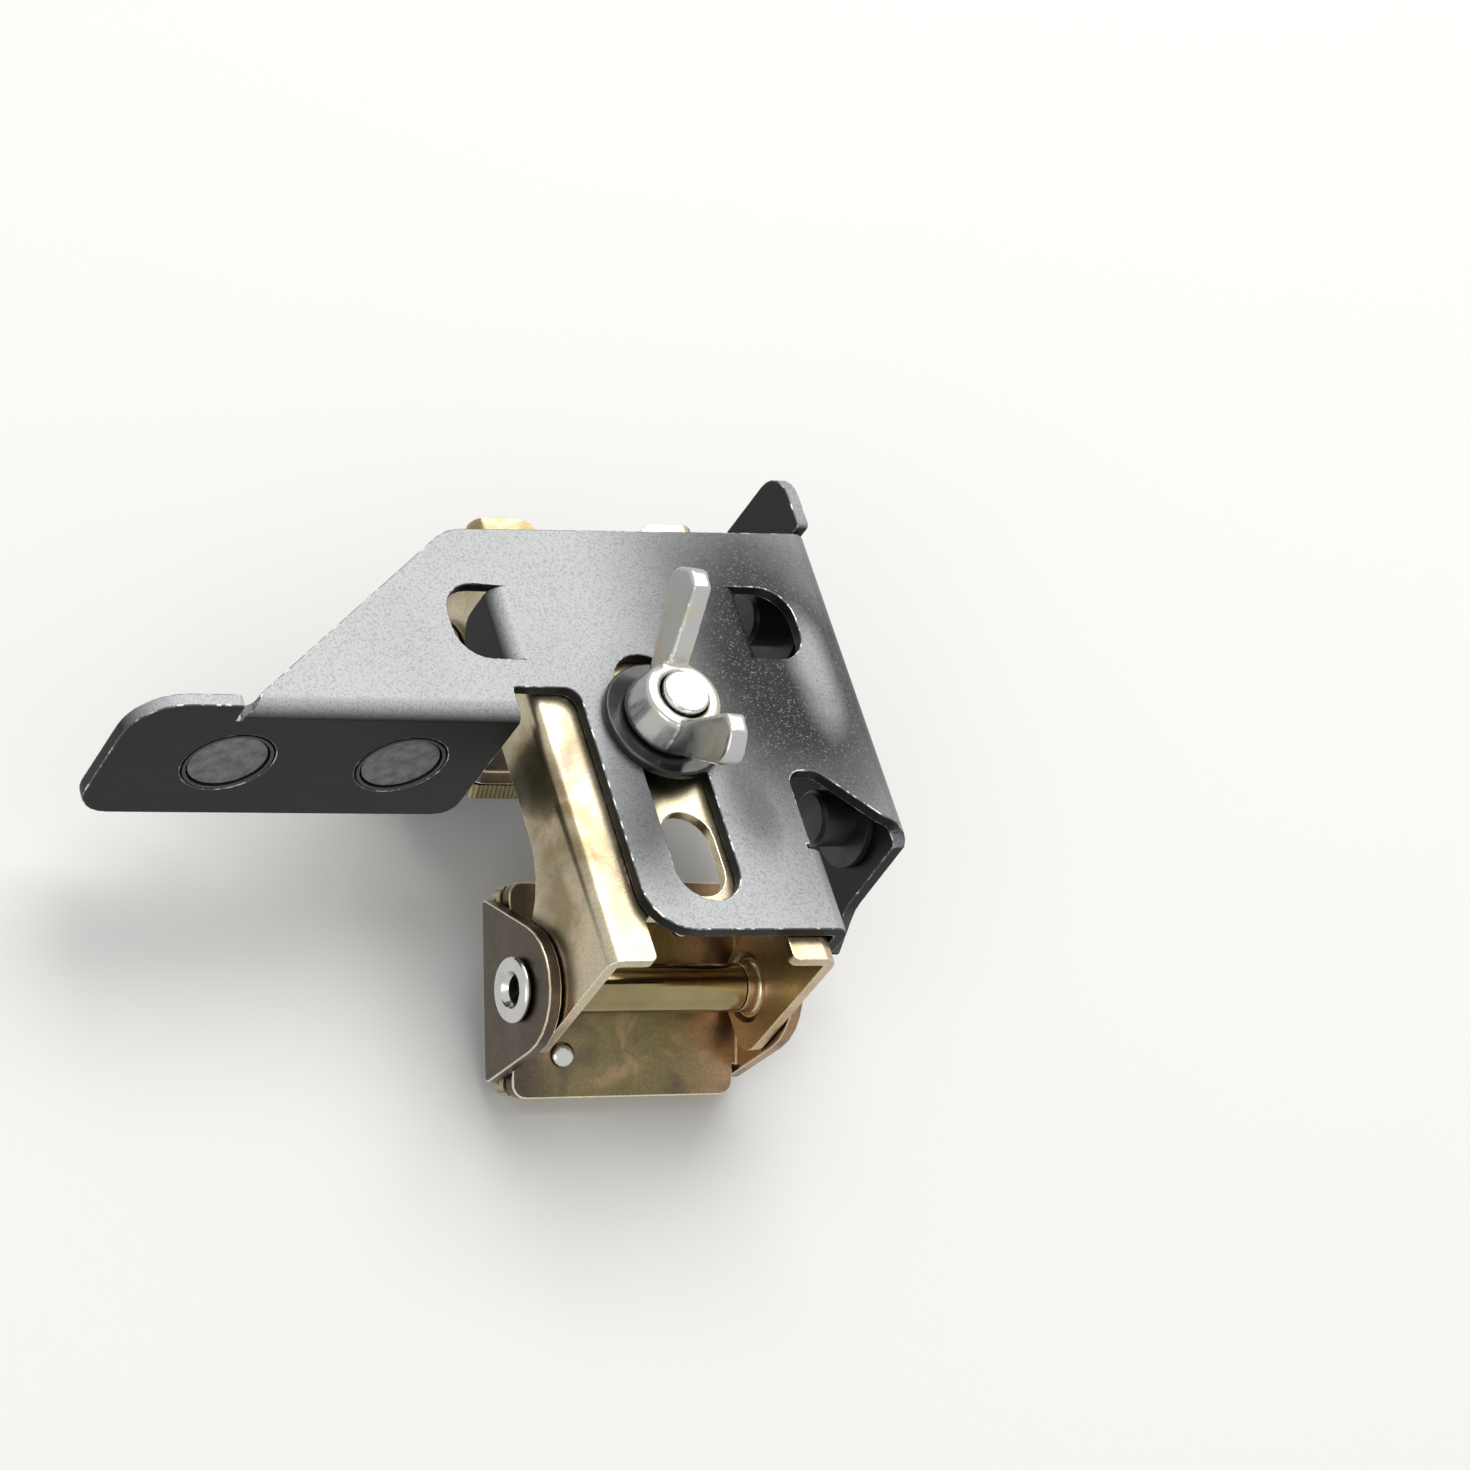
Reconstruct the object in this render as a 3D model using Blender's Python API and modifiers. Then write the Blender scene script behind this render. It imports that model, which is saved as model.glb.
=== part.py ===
"""Magnetic welding tab: a folded plate with magnets in its two flanges, clamped by a wing nut to
a slide that stands on two swinging magnetic feet.

The tab is drawn from the folded plate: X runs along the plate and is 0 on the outer face of its
end flange, Y runs across it, and Z is 0 on its top face. The empty "tab_datum" then moves the
whole tab so that the origin lies on the end flange, midway between its two magnets.
"""

import math

import bmesh
import bpy
from mathutils import Vector
from mathutils.geometry import delaunay_2d_cdt

MM = 0.001

# Fits
GAP = 0.3 * MM              # between pieces that touch, or are cut by each other
RUNNING_FIT = 0.1 * MM      # round a turning pin
SIDE_PLAY = 0.3 * MM        # slide to the guides on either side of it
LOBE_CLEARANCE = 0.4 * MM   # slide's round lobe to the foot that swings under it

# Folded plate: its sheet
SHEET = 2.2 * MM
BEND = 3.0 * MM             # outside radius of each fold
NICK = 0.8 * MM             # width of the relief cut at the end of a fold

# Folded plate: top, with the Y of its edges
BACK_Y = 59.7 * MM
BACK_TAPER = 1.8 * MM       # how much further forward the back edge is at its far corner
BACK_CORNER = 28.5 * MM     # far corner of the back edge, from the slide's centre line
BACK_CORNER_R = 8.0 * MM
END_FOLD_Y = 2.6 * MM       # front end of the end flange's fold
END_MARGIN = 8.4 * MM       # end face to the nearest ear opening

# Folded plate: tongue over the slide
TONGUE_FRONT = -18.2 * MM
TONGUE_LEFT = 13.2 * MM     # left edge, from the slide's centre line
TONGUE_R = 8.0 * MM
SLOT_WIDTH = 11.8 * MM
SLOT_LENGTH = 46.7 * MM
SLOT_MARGIN = 5.5 * MM      # tongue's front edge to the slot
LIP_LENGTH = 15.2 * MM
LIP_DEPTH = 9.2 * MM
NOTCH_LEFT = 1.6 * MM       # left notch, beyond the guides' outer faces
NOTCH_DEPTH = 2.2 * MM      # left notch, beyond the side flange's fold
NOTCH_R = 2.5 * MM
SWEEP_Y = 11.9 * MM         # deepest part of the right notch
SWEEP_WIDTH = 5.7 * MM
SWEEP_R = 3.2 * MM

# Folded plate: ears bent down out of D-shaped openings, which guide the slide
EAR_WIDTH = 14.4 * MM
EAR_REACH = 12.2 * MM
EAR_R = 5.8 * MM
LEFT_EAR_Y = 39.8 * MM
RIGHT_EAR_Y = 41.0 * MM

# Folded plate: side flange, which faces -Y
FLANGE_Y = 22.0 * MM
FLANGE_LENGTH = 67.4 * MM
FLANGE_DEPTH = 29.6 * MM
FLANGE_RISE = 0.6 * MM      # how far its free end stands above the plate
FLANGE_OVERHANG = 18.6 * MM # free end beyond the fold
FLANGE_FLARE = 2.8 * MM     # how much the fold widens from the top to the flange
FLANGE_SLANT = 0.4 * MM     # right end, narrower at the bottom
FLANGE_TOP_R = 9.5 * MM
FLANGE_LOW_R = 6.0 * MM
FLANGE_RIGHT_R = 3.5 * MM
FLANGE_MAGNET_DROP = 15.1 * MM
FLANGE_MAGNET_OUTER = 21.1 * MM   # from the free end
FLANGE_MAGNET_INNER = 15.9 * MM   # from the right end

# Folded plate: end flange, which faces +X and holds the work
END_DEPTH = 30.0 * MM
END_OVERHANG = 13.4 * MM
END_RISE = 1.0 * MM
END_TOP_R = 9.0 * MM
END_LOW_R = 6.0 * MM
END_FLARE = 3.4 * MM
END_WAIST = 21.0 * MM       # down its front edge, where the edge turns forward
END_TOE = 4.0 * MM          # how far the front edge turns forward
END_MAGNET_Y = 30.5 * MM    # midway between its two magnets
END_MAGNET_PITCH = 40.0 * MM
END_MAGNET_DROP = 12.0 * MM

# Round magnets, each in a steel cup that is pressed through a flange
MAGNET_R = 6.5 * MM
MAGNET_THICK = 2.2 * MM
MAGNET_SET = 0.3 * MM       # below the rim of the cup
CUP_WALL = 0.6 * MM
CUP_SEAT_LIP = 0.5 * MM     # seat behind the sheet, wider than the hole
CUP_SEAT = 1.2 * MM
BOSS_R = 4.7 * MM
BOSS_LENGTH = 6.2 * MM

# Slide: a channel under the tongue, drawn from the bolt's axis on its top face
SLIDE_SHEET = 2.0 * MM
SLIDE_BEND = 2.5 * MM
SLIDE_WIDTH = 42.0 * MM
SLIDE_REST = 13.7 * MM      # bolt's axis from the back end of the slot
HORN_FRONT = 42.7 * MM
HORN_REAR = 42.1 * MM
HORN_WIDTH = 8.5 * MM
REAR_HORN_WIDTH = 11.5 * MM
HORN_R = 1.2 * MM
REAR_HORN_R = 4.0 * MM
WEB_CUT = 34.5 * MM         # web's front and back edges, from the bolt
WEB_SLOT_WIDTH = 9.5 * MM
WEB_SLOT_NEAR = 15.0 * MM
WEB_SLOT_FAR = 30.8 * MM
WAIST = 12.0 * MM           # depth of the slide between its lobes
WAIST_R = 14.0 * MM
LOBE_CORNER_R = 3.9 * MM

# Pivots in the slide's lobes
PIN_DROP = 24.0 * MM
FRONT_PIN = 33.3 * MM       # from the bolt
REAR_PIN = 25.7 * MM
RIVET_R = 3.1 * MM
RIVET_BORE_R = 2.4 * MM
RIVET_MOUTH_R = 3.1 * MM
RIVET_HEAD_R = 5.4 * MM
RIVET_HEAD = 1.2 * MM
COLLAR_WALL = 0.8 * MM
COLLAR_DEPTH = 4.0 * MM     # from the slide's outer face to the collar's end
FUNNEL_R = 2.4 * MM         # rounding from the slide's outer face into the collar

# Feet: a base plate let into two ear plates, which hang on the pivots
FOOT_TILT = math.radians(30)
FOOT_SHEET = 2.2 * MM       # thickness of the ears
FOOT_PLAY = 0.4 * MM        # foot's ears to the slide
FOOT_DROP = 10.0 * MM       # pivot to the underside of the base
FOOT_EAR_R = 10.5 * MM
FOOT_EAR_HALF = 14.9 * MM
FOOT_EAR_DROP = 11.4 * MM   # pivot to the lower edge of the ears
BASE_SHEET = 2.4 * MM
BASE_HALF = 17.4 * MM       # pivot to each end of the base
BASE_LET_IN = 1.4 * MM      # how far the base goes into each ear
BASE_CORNER_R = 2.5 * MM

# Magnetic pads under the feet
POLE_WEB = 0.9 * MM
POLE_RAIL = 2.0 * MM
POLE_DEPTH = 2.5 * MM
POLE_INSET = 0.3 * MM       # from the ends of the base
PAD_RIVET_R = 1.3 * MM
PAD_RIVET_HEAD_R = 2.1 * MM
PAD_RIVET_HEAD = 0.9 * MM
PAD_RIVET_X = 11.4 * MM
PAD_RIVET_Y = 10.4 * MM

# Clamp
BOLT_R = 4.0 * MM
BOLT_HEAD_R = 8.5 * MM
BOLT_HEAD = 3.7 * MM
BOLT_NECK = 8.4 * MM        # side of the square neck
BOLT_PROUD = 1.0 * MM       # above the nut
WASHER_R = 10.75 * MM
WASHER_THICK = 1.7 * MM
NUT_BASE_R = 8.0 * MM
NUT_TOP_R = 6.6 * MM
NUT_HEIGHT = 6.6 * MM
WING_REACH = 18.7 * MM      # bolt's axis to the end of a wing
WING_HEIGHT = 19.2 * MM     # above the nut's base
WING_WIDTH = 7.0 * MM
WING_THICK = 4.6 * MM       # at the nut's base
WING_TIP = 3.2 * MM         # thickness at the top
WING_TURN = math.radians(-4.4)   # where the tightened nut came to rest

# Facets
ARC_STEP = math.radians(15)
FOLD_STEPS = 5
ROUND = 28

# Places that follow from the sizes above
guide_out = SLIDE_WIDTH / 2 + SIDE_PLAY + SHEET
guide_fold = guide_out - BEND
mid_x = -(END_MARGIN + EAR_REACH + guide_fold)
slot_front = TONGUE_FRONT + SLOT_MARGIN
slot_back = slot_front + SLOT_LENGTH
bolt_y = slot_back - SLIDE_REST
foot_in = SLIDE_WIDTH / 2 + FOOT_PLAY
foot_out = foot_in + FOOT_SHEET
flange_right = mid_x - foot_out - GAP
flange_left = flange_right - FLANGE_LENGTH
cup_r = MAGNET_R + GAP + CUP_WALL
cup_hole_r = cup_r + GAP
collar_r = RIVET_R + RUNNING_FIT
lobe_r = FOOT_DROP - BASE_SHEET - LOBE_CLEARANCE

ALONG_X = (0, math.pi / 2, 0)            # turns a piece's own Z to +X
FACING_FRONT = (math.pi / 2, 0, 0)       # turns a piece's own Z to -Y
SIDEWAYS = (math.pi / 2, 0, math.pi / 2) # stands an outline up in the YZ plane


def remove_everything():
    for thing in list(bpy.data.objects):
        bpy.data.objects.remove(thing, do_unlink=True)


def new_collection(name):
    collection = bpy.data.collections.new(name)
    bpy.context.scene.collection.children.link(collection)
    return collection


def linear(byte):
    share = byte / 255
    return share / 12.92 if share <= 0.04045 else ((share + 0.055) / 1.055) ** 2.4


def material(name, colour, metallic, roughness):
    made = bpy.data.materials.new(name)
    made.use_nodes = True
    shader = made.node_tree.nodes["Principled BSDF"]
    rgb = [linear(int(colour[i:i + 2], 16)) for i in (0, 2, 4)]
    shader.inputs["Base Color"].default_value = (*rgb, 1)
    shader.inputs["Metallic"].default_value = metallic
    shader.inputs["Roughness"].default_value = roughness
    made.diffuse_color = (*rgb, 1)
    return made


def add_object(name, data, collection, parent=None, look=None, at=(0, 0, 0), turned_to=(0, 0, 0)):
    thing = bpy.data.objects.new(name, data)
    collection.objects.link(thing)
    thing.parent = parent
    thing.location = at
    thing.rotation_euler = turned_to
    if look:
        data.materials.append(look)
    return thing


def add_empty(name, parent, at, turned_to=(0, 0, 0)):
    return add_object(name, None, parts, parent, None, at, turned_to)


def as_cutter(thing):
    thing.hide_render = True
    thing.display_type = "WIRE"
    return thing


# Outlines: lists of (u, v) points

def rounded(corners):
    """A closed outline from (u, v, radius) corners, each rounded as far as its sides allow."""
    points = []
    for i, (u, v, radius) in enumerate(corners):
        here = Vector((u, v))
        before = Vector(corners[i - 1][:2]) - here
        after = Vector(corners[(i + 1) % len(corners)][:2]) - here
        turn = math.pi - before.angle(after)
        if radius == 0 or turn < 0.01:
            points.append((u, v))
            continue
        reach = min(radius * math.tan(turn / 2), 0.49 * before.length, 0.49 * after.length)
        radius = reach / math.tan(turn / 2)
        back, ahead = before.normalized(), after.normalized()
        centre = here + (back + ahead).normalized() * radius / math.cos(turn / 2)
        start = here + back * reach - centre
        side = 1 if ahead.cross(back) > 0 else -1
        steps = max(2, round(turn / (ARC_STEP if radius > 2 * MM else 2 * ARC_STEP)))
        first = math.atan2(start.y, start.x)
        for k in range(steps + 1):
            angle = first + side * turn * k / steps
            points.append((centre.x + radius * math.cos(angle), centre.y + radius * math.sin(angle)))
    return points


def arc(centre, radius, first, last):
    """Points on an arc, between two angles in degrees."""
    steps = max(2, round(abs(last - first) / math.degrees(ARC_STEP)))
    angles = [math.radians(first + (last - first) * k / steps) for k in range(steps + 1)]
    return [(centre[0] + radius * math.cos(a), centre[1] + radius * math.sin(a)) for a in angles]


def circle(centre, radius, count=ROUND):
    angles = [2 * math.pi * k / count for k in range(count)]
    return [(centre[0] + radius * math.cos(a), centre[1] + radius * math.sin(a)) for a in angles]


def long_hole(u, v_low, v_high, width):
    """A slot with round ends that runs along v."""
    r = width / 2
    return arc((u, v_high - r), r, 0, 180) + arc((u, v_low + r), r, 180, 360)


# Folded sheets: an outer skin of flat panels and bends, made solid by Solidify

def is_inside(point, edges):
    """Whether a point lies inside an outline and outside its holes: a line from it to one side
    then crosses an odd number of edges."""
    crossings = 0
    for a, b in edges:
        if (a.y > point.y) != (b.y > point.y):
            crossings += point.x < a.x + (b.x - a.x) * (point.y - a.y) / (b.y - a.y)
    return crossings % 2 == 1


def fill(bm, place, outline, holes=()):
    """Fill a flat outline, less its holes, where place turns (u, v) into a point. The triangles
    are found in millimetres, where points that lie close together are still well apart."""
    points, edges = [], []
    for loop in (outline, *holes):
        first = len(points)
        points += [Vector(point) / MM for point in loop]
        edges += [(i, i + 1) for i in range(first, len(points) - 1)] + [(len(points) - 1, first)]
    corners, _, triangles, *_ = delaunay_2d_cdt(points, edges, [], 0, 0.0001)
    made = [bm.verts.new(place(*(corner * MM))) for corner in corners]
    for triangle in triangles:
        middle = sum((corners[i] for i in triangle), Vector((0, 0))) / 3
        if is_inside(middle, [(points[i], points[j]) for i, j in edges]):
            bm.faces.new([made[i] for i in triangle])


def fold(bm, place, near_ends, far_ends, radius):
    """A quarter bend from one panel's edge to the next, where place turns (along, a, b) into a
    point: a is the first panel's outward direction and b is the second's."""
    rows = []
    for step in range(FOLD_STEPS + 1):
        share = step / FOLD_STEPS
        a, b = radius * math.cos(share * math.pi / 2), radius * math.sin(share * math.pi / 2)
        ends = [near + (far - near) * share for near, far in zip(near_ends, far_ends)]
        rows.append([bm.verts.new(place(s, a, b)) for s in ends])
    for upper, lower in zip(rows, rows[1:]):
        bm.faces.new((upper[0], upper[1], lower[1], lower[0]))


def funnel(bm, place, centre, rows):
    """Rings of (radius, depth) that carry a panel's round hole inward as a drawn collar."""
    rings = []
    for radius, depth in rows:
        rings.append([bm.verts.new(place(u, v, depth)) for u, v in circle(centre, radius)])
    for outer, inner in zip(rings, rings[1:]):
        for i in range(ROUND):
            bm.faces.new((outer[i - 1], outer[i], inner[i], inner[i - 1]))


def sheet_object(name, bm, thickness, face_side, look, parent, thin=None):
    """Weld the skin, turn its outside out and thicken it inward. Its panels across face_side
    look that way. thin(point) gives the share of the thickness at a point."""
    bmesh.ops.remove_doubles(bm, verts=bm.verts, dist=0.01 * MM)
    bmesh.ops.recalc_face_normals(bm, faces=bm.faces)
    side = Vector(face_side)
    if sum(face.calc_area() * face.normal.dot(side) for face in bm.faces) < 0:
        bmesh.ops.reverse_faces(bm, faces=bm.faces)
    mesh = bpy.data.meshes.new(name)
    bm.to_mesh(mesh)
    bm.free()
    sheet = add_object(name, mesh, parts, parent, look)
    solidify = sheet.modifiers.new("sheet", "SOLIDIFY")
    solidify.thickness = thickness
    solidify.offset = -1
    solidify.use_even_offset = True
    solidify.use_quality_normals = True
    if thin:
        wall = sheet.vertex_groups.new(name="wall")
        for vertex in mesh.vertices:
            wall.add([vertex.index], thin(vertex.co), "REPLACE")
        solidify.vertex_group = wall.name
    return sheet


# Turned and cut pieces

def turned(name, profile, look, parent, at=(0, 0, 0), turned_to=(0, 0, 0), group=None, steps=ROUND):
    """Revolve (radius, height) points about Z. They run down the outer side, and back up the
    bore where the piece has one."""
    mesh = bpy.data.meshes.new(name)
    ring = profile[0][0] > 0
    edges = [(i, i + 1) for i in range(len(profile) - 1)]
    if ring:
        edges.append((len(profile) - 1, 0))
    mesh.from_pydata([(r, 0, z) for r, z in profile], edges, [])
    piece = add_object(name, mesh, group or parts, parent, look, at, turned_to)
    screw = piece.modifiers.new("turn", "SCREW")
    screw.angle = 2 * math.pi
    screw.steps = screw.render_steps = steps
    screw.use_merge_vertices = True
    screw.merge_threshold = 0.01 * MM
    screw.use_smooth_shade = True
    return piece


def cut_plate(name, outline, thickness, look, parent, at=(0, 0, 0), turned_to=(0, 0, 0),
              group=None, holes=()):
    """A flat outline given a thickness, as a mesh that can be cut and joined."""
    curve = bpy.data.curves.new(name, "CURVE")
    curve.dimensions = "2D"
    curve.fill_mode = "BOTH"
    curve.extrude = thickness / 2
    for loop in (outline, *holes):
        spline = curve.splines.new("POLY")
        spline.points.add(len(loop) - 1)
        for point, (u, v) in zip(spline.points, loop):
            point.co = (u, v, 0, 1)
        spline.use_cyclic_u = True
    drawn = add_object(name, curve, group or parts)
    bpy.context.view_layer.update()
    mesh = bpy.data.meshes.new_from_object(drawn.evaluated_get(bpy.context.evaluated_depsgraph_get()))
    bpy.data.objects.remove(drawn, do_unlink=True)
    bm = bmesh.new()
    bm.from_mesh(mesh)
    bmesh.ops.remove_doubles(bm, verts=bm.verts, dist=0.01 * MM)
    bmesh.ops.recalc_face_normals(bm, faces=bm.faces)
    bm.to_mesh(mesh)
    bm.free()
    mesh.name = name
    return add_object(name, mesh, group or parts, parent, look, at, turned_to)


def join_or_cut(piece, tool, operation):
    step = piece.modifiers.new(tool.name, "BOOLEAN")
    step.operation = operation
    step.object = as_cutter(tool)
    step.solver = "EXACT"


# The folded plate

def top_outline():
    flange_fold = FLANGE_Y + BEND
    lip_fold = mid_x + guide_fold
    tongue_left = mid_x - TONGUE_LEFT
    tongue_right = lip_fold + NICK / 2
    lip_back = TONGUE_FRONT + LIP_LENGTH
    wing_end = flange_left + FLANGE_OVERHANG + FLANGE_FLARE
    notch_left = mid_x - guide_out - NOTCH_LEFT
    return rounded([
        (-BEND, END_FOLD_Y, 0),
        (-BEND, BACK_Y, 0),
        (mid_x - BACK_CORNER, BACK_Y - BACK_TAPER, BACK_CORNER_R),
        (wing_end, flange_fold, 0),
        (notch_left, flange_fold, 0),
        (notch_left, flange_fold + NOTCH_DEPTH, NOTCH_R / 3),
        (tongue_left, flange_fold + NOTCH_DEPTH, NOTCH_R),
        (tongue_left, TONGUE_FRONT, TONGUE_R),
        (lip_fold, TONGUE_FRONT, 0),
        (lip_fold, lip_back, 0),
        (lip_fold - NICK / 2, lip_back, 0),
        (lip_fold - NICK / 2, lip_back + NICK, 0),
        (tongue_right, lip_back + NICK, 0),
        (tongue_right, SWEEP_Y, SWEEP_R),
        (tongue_right + SWEEP_WIDTH, SWEEP_Y, SWEEP_R),
        (-BEND - 2 * NICK, END_FOLD_Y + NICK, SWEEP_R),
    ])


def ear_opening(side, ear_y):
    """The D-shaped opening that an ear leaves in the top. side is -1 left and 1 right."""
    near = mid_x + side * guide_fold
    far = near + side * EAR_REACH
    low, high = ear_y - EAR_WIDTH / 2, ear_y + EAR_WIDTH / 2
    return rounded([(near, low, 0), (far, low, EAR_R), (far, high, EAR_R), (near, high, 0)])


def flange_outline():
    fold_left = flange_left + FLANGE_OVERHANG
    return rounded([
        (flange_right, -BEND, 0),
        (fold_left, -BEND, 0),
        (fold_left, -BEND - NICK / 2, 0),
        (fold_left - NICK, -BEND - NICK / 2, 0),
        (fold_left - NICK, FLANGE_RISE, NICK),
        (flange_left, FLANGE_RISE, FLANGE_TOP_R),
        (flange_left, -FLANGE_DEPTH, FLANGE_LOW_R),
        (flange_right - FLANGE_SLANT, -FLANGE_DEPTH, FLANGE_RIGHT_R),
    ])


def end_outline():
    front = END_FOLD_Y - END_FLARE
    back = BACK_Y + END_OVERHANG
    return rounded([
        (front, -BEND, 0),
        (BACK_Y, -BEND, 0),
        (BACK_Y, -BEND - NICK / 2, 0),
        (BACK_Y + NICK, -BEND - NICK / 2, 0),
        (BACK_Y + NICK, END_RISE, NICK),
        (back, END_RISE, END_TOP_R),
        (back, -END_DEPTH, END_LOW_R),
        (front - END_TOE - NICK, -END_DEPTH, NICK),
        (front - NICK, -END_WAIST, END_TOP_R),
    ])


def flange_magnets():
    return [(flange_left + FLANGE_MAGNET_OUTER, -FLANGE_MAGNET_DROP),
            (flange_right - FLANGE_MAGNET_INNER, -FLANGE_MAGNET_DROP)]


def end_magnets():
    return [(END_MAGNET_Y + side * END_MAGNET_PITCH / 2, -END_MAGNET_DROP) for side in (-1, 1)]


def hanging_panel(bm, x, side, y_low, y_high, depth, radius):
    """A tab bent down from the top along Y: its bend and its flat. side is -1 left, 1 right."""
    fold_x = x - side * BEND
    fold(bm, lambda s, a, b: (fold_x + side * b, s, a - BEND), (y_low, y_high), (y_low, y_high), BEND)
    fill(bm, lambda y, z: (x, y, z), rounded([
        (y_low, -BEND, 0), (y_high, -BEND, 0), (y_high, -depth, radius), (y_low, -depth, radius)]))


def make_bracket(look, datum):
    bm = bmesh.new()
    slot = long_hole(mid_x, slot_front, slot_back, SLOT_WIDTH)
    fill(bm, lambda x, y: (x, y, 0), top_outline(),
         [slot, ear_opening(-1, LEFT_EAR_Y), ear_opening(1, RIGHT_EAR_Y)])
    fold(bm, lambda s, a, b: (s, FLANGE_Y + BEND - b, a - BEND),
         (flange_left + FLANGE_OVERHANG + FLANGE_FLARE, mid_x - guide_out - NOTCH_LEFT),
         (flange_left + FLANGE_OVERHANG, flange_right), BEND)
    fill(bm, lambda x, z: (x, FLANGE_Y, z), flange_outline(),
         [circle(place, cup_hole_r) for place in flange_magnets()])
    fold(bm, lambda s, a, b: (b - BEND, s, a - BEND),
         (END_FOLD_Y, BACK_Y), (END_FOLD_Y - END_FLARE, BACK_Y), BEND)
    fill(bm, lambda y, z: (0, y, z), end_outline(),
         [circle(place, cup_hole_r) for place in end_magnets()])
    for side, ear_y in ((-1, LEFT_EAR_Y), (1, RIGHT_EAR_Y)):
        hanging_panel(bm, mid_x + side * guide_out, side, ear_y - EAR_WIDTH / 2,
                      ear_y + EAR_WIDTH / 2, EAR_REACH, EAR_R)
    hanging_panel(bm, mid_x + guide_out, 1, TONGUE_FRONT, TONGUE_FRONT + LIP_LENGTH,
                  LIP_DEPTH, NOTCH_R)
    return sheet_object("bracket", bm, SHEET, (0, 0, 1), look, datum)


# Magnets in cups

def make_cup(name, cup_look, magnet_look, datum, at, turned_to):
    """A cup that is flush with the flange's outer face, which is at its own Z 0."""
    recess = MAGNET_SET + MAGNET_THICK + GAP
    seat_r = cup_hole_r + CUP_SEAT_LIP
    seat = -SHEET - GAP
    boss_end = seat - CUP_SEAT - BOSS_LENGTH
    turned("cup_" + name, [
        (0, -recess), (MAGNET_R + GAP, -recess), (MAGNET_R + GAP, 0), (cup_r, 0), (cup_r, seat),
        (seat_r, seat), (seat_r, seat - CUP_SEAT), (BOSS_R, seat - CUP_SEAT),
        (BOSS_R, boss_end + CUP_WALL), (BOSS_R - CUP_WALL, boss_end), (0, boss_end)],
        cup_look, datum, at, turned_to)
    turned("magnet_" + name, [
        (0, -MAGNET_SET), (MAGNET_R, -MAGNET_SET), (MAGNET_R, -MAGNET_SET - MAGNET_THICK),
        (0, -MAGNET_SET - MAGNET_THICK)], magnet_look, datum, at, turned_to)


# The slide

def pin_places():
    return [(-FRONT_PIN, -PIN_DROP), (REAR_PIN, -PIN_DROP)]


def lobe_run(pin_y, side):
    """The lower edge of one lobe and its sweep up to the waist, from the outside inward. side is
    -1 for the front lobe and 1 for the rear one."""
    sweep_y = math.sqrt((WAIST_R + lobe_r) ** 2 - (PIN_DROP - WAIST - WAIST_R) ** 2)
    sweep = (sweep_y, PIN_DROP - WAIST - WAIST_R)
    touch = math.degrees(math.atan2(sweep[1], sweep[0]))
    run = arc((0, 0), lobe_r, -90, touch) + arc(sweep, WAIST_R, 180 + touch, 90)
    return [(pin_y - side * u, v - PIN_DROP) for u, v in run]


def slide_side_outline():
    """One side of the channel, as (y, z) from the bolt's axis on the slide's top face."""
    bottom = -PIN_DROP - lobe_r
    lobe_out = HORN_FRONT - FRONT_PIN
    corner = lobe_out - LOBE_CORNER_R
    low = bottom + LOBE_CORNER_R
    front = arc((-FRONT_PIN - corner, low), LOBE_CORNER_R, 180, 270)
    rear = arc((REAR_PIN + corner, low), LOBE_CORNER_R, 270, 360)
    return ([(-HORN_FRONT, -SLIDE_BEND)] + front + lobe_run(-FRONT_PIN, -1)
            + lobe_run(REAR_PIN, 1)[::-1] + rear + [(HORN_REAR, -SLIDE_BEND)])


def slide_top_outline():
    fold_x = SLIDE_WIDTH / 2 - SLIDE_BEND
    front = SLIDE_WIDTH / 2 - HORN_WIDTH
    rear = SLIDE_WIDTH / 2 - REAR_HORN_WIDTH
    return rounded([
        (-fold_x, -HORN_FRONT, 0), (-front, -HORN_FRONT, HORN_R), (-front, -WEB_CUT, HORN_R),
        (front, -WEB_CUT, HORN_R), (front, -HORN_FRONT, HORN_R), (fold_x, -HORN_FRONT, 0),
        (fold_x, HORN_REAR, 0), (rear, HORN_REAR, REAR_HORN_R), (rear, WEB_CUT, HORN_R),
        (-rear, WEB_CUT, HORN_R), (-rear, HORN_REAR, REAR_HORN_R), (-fold_x, HORN_REAR, 0)])


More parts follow.
